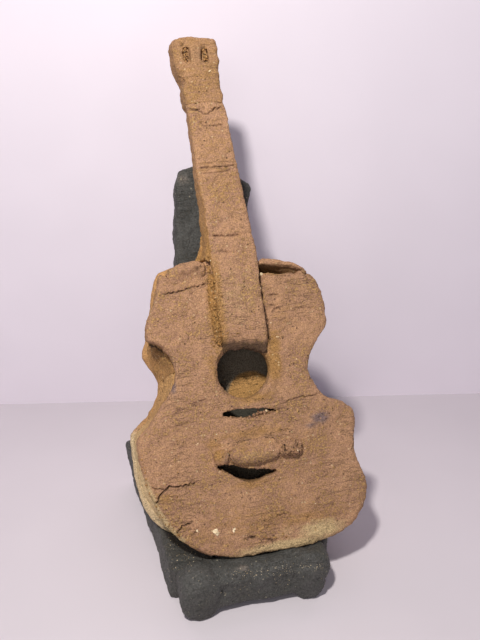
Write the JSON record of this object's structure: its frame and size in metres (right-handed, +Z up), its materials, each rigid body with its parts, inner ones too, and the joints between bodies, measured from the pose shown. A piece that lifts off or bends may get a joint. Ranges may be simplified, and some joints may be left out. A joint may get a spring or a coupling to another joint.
{
  "type": "clay charango ornament",
  "caption": "Hand-built unglazed clay charango, hollow with a sound hole, leaning back on a dark clay stand that it lifts off.",
  "frame": {"origin": "middle of the footprint box, on the floor", "axes": "+Z up, soundboard facing -Y, +X to the viewer's right"},
  "size_m": [0.1352, 0.166, 0.2997],
  "materials": {
    "brown_clay": "unglazed, grogged, rough",
    "ochre_clay": "unglazed, crumbly",
    "buff_clay": "unglazed, pale",
    "black_clay": "unglazed, smoked dark"
  },
  "bodies": {
    "stand": {"front_rail": "black_clay", "left_front_foot": "black_clay", "right_front_foot": "black_clay", "left_side": "black_clay", "right_side": "black_clay", "back_rest": "black_clay"},
    "charango": {"soundboard": "brown_clay", "back_slab": "brown_clay", "lower_right_rib": "brown_clay", "neck": "brown_clay", "headstock": "brown_clay", "bridge_bar": "brown_clay", "bridge_left_pad": "brown_clay", "bridge_right_pad": "brown_clay", "upper_left_rib": "ochre_clay", "upper_right_rib": "ochre_clay", "left_shoulder_coil": "ochre_clay", "right_shoulder_coil": "ochre_clay", "heel": "ochre_clay", "neck_fillet": "ochre_clay", "lower_left_rib": "buff_clay"}
  },
  "joints": [
    {"name": "lift_off", "type": "slide", "parent": "stand", "child": "charango", "axis": [0, 0, 1], "range_m": [0, 0.22]}
  ]
}
